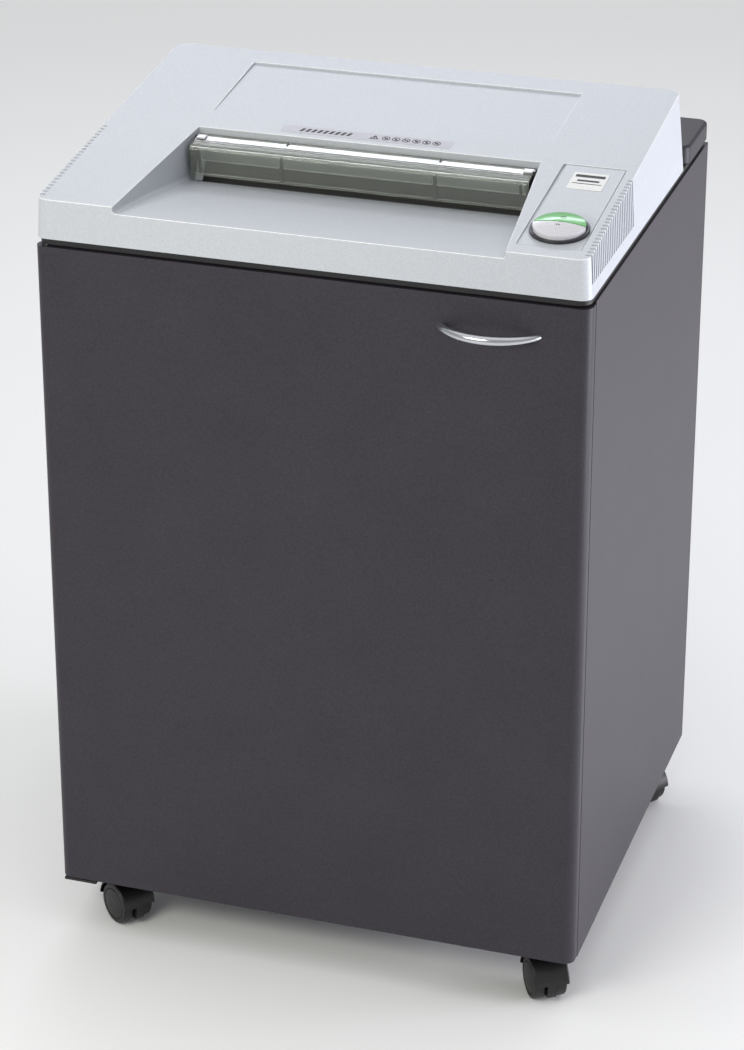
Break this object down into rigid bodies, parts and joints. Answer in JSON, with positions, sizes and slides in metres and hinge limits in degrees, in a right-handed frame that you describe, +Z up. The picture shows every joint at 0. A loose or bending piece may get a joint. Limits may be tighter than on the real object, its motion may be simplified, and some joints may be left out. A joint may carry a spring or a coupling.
{
  "type": "paper shredder",
  "caption": "Cabinet paper shredder on casters: hinged door, shred bin, cutting head and a sloping cover with a feed recess, clear flap and rocker switch.",
  "frame": {"origin": "on the floor, under the middle of the machine's outer box with its door handle", "axes": "+X to the right as seen from the door side, +Y from the door to the back, +Z up"},
  "size_m": [0.59, 0.5578, 0.92],
  "materials": {
    "laminate_board": "fine-grained anthracite melamine",
    "cover_plastic": "silver-grey moulded plastic with a fine metallic grain",
    "black_plastic": "fine matt",
    "satin_metal": "satin",
    "cutter_steel": "hardened and oiled",
    "smoked_plastic": "clear, smoked",
    "green_lens": "translucent",
    "white_plastic": "smooth",
    "label_film": "printed film",
    "bin_plastic": "grained",
    "circuit_board": "solder mask",
    "gear_nylon": "natural"
  },
  "bodies": {
    "cabinet": {"side_panel_left": "laminate_board", "side_panel_right": "laminate_board", "floor_panel": "laminate_board", "back_panel": "laminate_board", "deck_panel": "laminate_board", "front_rail": "laminate_board", "base_frame": "black_plastic", "top_pivot_pin": "satin_metal", "bottom_pivot_bracket": "satin_metal", "door_catch": "black_plastic", "bin_floor": "bin_plastic", "bin_left": "bin_plastic", "bin_right": "bin_plastic", "bin_front": "bin_plastic", "bin_back": "bin_plastic", "top_cover": "cover_plastic", "rear_shelf": "laminate_board", "caution_strip": "label_film", "rating_label": "label_film", "switch_bezel": "black_plastic", "flap_shaft": "satin_metal", "stripper_front": "satin_metal", "stripper_rear": "satin_metal", "cutter_plate_left": "cutter_steel", "cutter_plate_right": "cutter_steel", "bearing_front_left": "satin_metal", "bearing_front_right": "satin_metal", "bearing_rear_left": "satin_metal", "bearing_rear_right": "satin_metal", "tie_bar_front": "satin_metal", "tie_bar_rear": "satin_metal", "throat_guide": "satin_metal", "lay_axle": "satin_metal", "motor_housing": "cutter_steel", "control_board": "circuit_board", "mains_inlet": "black_plastic"},
    "door": {"door_panel": "laminate_board", "door_handle": "satin_metal"},
    "flap": {"feed_flap": "smoked_plastic"},
    "rocker": {"rocker_button": "white_plastic", "rocker_lens": "green_lens"},
    "front_cutter": {"cutter_front": "cutter_steel", "sync_gear_front": "satin_metal"},
    "rear_cutter": {"cutter_rear": "cutter_steel", "sync_gear_rear": "satin_metal", "drive_gear": "satin_metal"},
    "lay_shaft_gear": {"lay_gear": "gear_nylon"},
    "motor_rotor": {"motor_shaft": "satin_metal"},
    "caster_front_left": {"caster_front_left_hood": "black_plastic"},
    "caster_front_left_wheel_inner": {"caster_front_left_wheel_inner": "black_plastic"},
    "caster_front_left_wheel_outer": {"caster_front_left_wheel_outer": "black_plastic"},
    "caster_front_right": {"caster_front_right_hood": "black_plastic"},
    "caster_front_right_wheel_inner": {"caster_front_right_wheel_inner": "black_plastic"},
    "caster_front_right_wheel_outer": {"caster_front_right_wheel_outer": "black_plastic"},
    "caster_rear_left": {"caster_rear_left_hood": "black_plastic"},
    "caster_rear_left_wheel_inner": {"caster_rear_left_wheel_inner": "black_plastic"},
    "caster_rear_left_wheel_outer": {"caster_rear_left_wheel_outer": "black_plastic"},
    "caster_rear_right": {"caster_rear_right_hood": "black_plastic"},
    "caster_rear_right_wheel_inner": {"caster_rear_right_wheel_inner": "black_plastic"},
    "caster_rear_right_wheel_outer": {"caster_rear_right_wheel_outer": "black_plastic"}
  },
  "joints": [
    {"name": "door_hinge", "type": "hinge", "parent": "cabinet", "child": "door", "pos_m": [-0.285, -0.241, 0.443], "axis": [0, 0, -1], "range_deg": [0, 105]},
    {"name": "flap_hinge", "type": "hinge", "parent": "cabinet", "child": "flap", "pos_m": [0, -0.058, 0.8845], "axis": [-1, 0, 0], "range_deg": [0, 70]},
    {"name": "rocker_tilt", "type": "hinge", "parent": "cabinet", "child": "rocker", "pos_m": [0.2465, -0.194, 0.87876], "axis": [1, 0, 0], "range_deg": [-4, 4], "stiffness_Nm_per_rad": 0.8},
    {"name": "rear_cutter_spin", "type": "hinge", "parent": "cabinet", "child": "rear_cutter", "pos_m": [0, -0.044, 0.8], "axis": [1, 0, 0], "continuous": true},
    {"name": "front_cutter_spin", "type": "hinge", "parent": "cabinet", "child": "front_cutter", "pos_m": [0, -0.096, 0.8], "axis": [1, 0, 0], "continuous": true},
    {"name": "lay_gear_spin", "type": "hinge", "parent": "cabinet", "child": "lay_shaft_gear", "pos_m": [0.21, 0.01592, 0.81947], "axis": [1, 0, 0], "continuous": true},
    {"name": "motor_spin", "type": "hinge", "parent": "cabinet", "child": "motor_rotor", "pos_m": [0.2, 0.06228, 0.80704], "axis": [1, 0, 0], "continuous": true},
    {"name": "caster_front_left_swivel", "type": "hinge", "parent": "cabinet", "child": "caster_front_left", "pos_m": [-0.247, -0.201, 0.064], "axis": [0, 0, 1], "continuous": true},
    {"name": "caster_front_left_wheel_inner_spin", "type": "hinge", "parent": "caster_front_left", "child": "caster_front_left_wheel_inner", "pos_m": [-0.23406, -0.2104, 0.02354], "axis": [-0.5878, -0.809, 0], "continuous": true},
    {"name": "caster_front_left_wheel_outer_spin", "type": "hinge", "parent": "caster_front_left", "child": "caster_front_left_wheel_outer", "pos_m": [-0.23406, -0.2104, 0.02354], "axis": [-0.5878, -0.809, 0], "continuous": true},
    {"name": "caster_front_right_swivel", "type": "hinge", "parent": "cabinet", "child": "caster_front_right", "pos_m": [0.247, -0.201, 0.064], "axis": [0, 0, 1], "continuous": true},
    {"name": "caster_front_right_wheel_inner_spin", "type": "hinge", "parent": "caster_front_right", "child": "caster_front_right_wheel_inner", "pos_m": [0.25571, -0.21442, 0.02354], "axis": [-0.8387, -0.5446, 0], "continuous": true},
    {"name": "caster_front_right_wheel_outer_spin", "type": "hinge", "parent": "caster_front_right", "child": "caster_front_right_wheel_outer", "pos_m": [0.25571, -0.21442, 0.02354], "axis": [-0.8387, -0.5446, 0], "continuous": true},
    {"name": "caster_rear_left_swivel", "type": "hinge", "parent": "cabinet", "child": "caster_rear_left", "pos_m": [-0.247, 0.229, 0.064], "axis": [0, 0, 1], "continuous": true},
    {"name": "caster_rear_left_wheel_inner_spin", "type": "hinge", "parent": "caster_rear_left", "child": "caster_rear_left_wheel_inner", "pos_m": [-0.25451, 0.24313, 0.02354], "axis": [0.8829, 0.4695, 0], "continuous": true},
    {"name": "caster_rear_left_wheel_outer_spin", "type": "hinge", "parent": "caster_rear_left", "child": "caster_rear_left_wheel_outer", "pos_m": [-0.25451, 0.24313, 0.02354], "axis": [0.8829, 0.4695, 0], "continuous": true},
    {"name": "caster_rear_right_swivel", "type": "hinge", "parent": "cabinet", "child": "caster_rear_right", "pos_m": [0.247, 0.229, 0.064], "axis": [0, 0, 1], "continuous": true},
    {"name": "caster_rear_right_wheel_inner_spin", "type": "hinge", "parent": "caster_rear_right", "child": "caster_rear_right_wheel_inner", "pos_m": [0.25978, 0.21937, 0.02354], "axis": [-0.6018, -0.7986, 0], "continuous": true},
    {"name": "caster_rear_right_wheel_outer_spin", "type": "hinge", "parent": "caster_rear_right", "child": "caster_rear_right_wheel_outer", "pos_m": [0.25978, 0.21937, 0.02354], "axis": [-0.6018, -0.7986, 0], "continuous": true}
  ],
  "couplings": [
    {"joint": "front_cutter_spin", "follows": "rear_cutter_spin", "ratio": -1},
    {"joint": "lay_gear_spin", "follows": "rear_cutter_spin", "ratio": -3.2},
    {"joint": "motor_spin", "follows": "rear_cutter_spin", "ratio": 9.6}
  ]
}
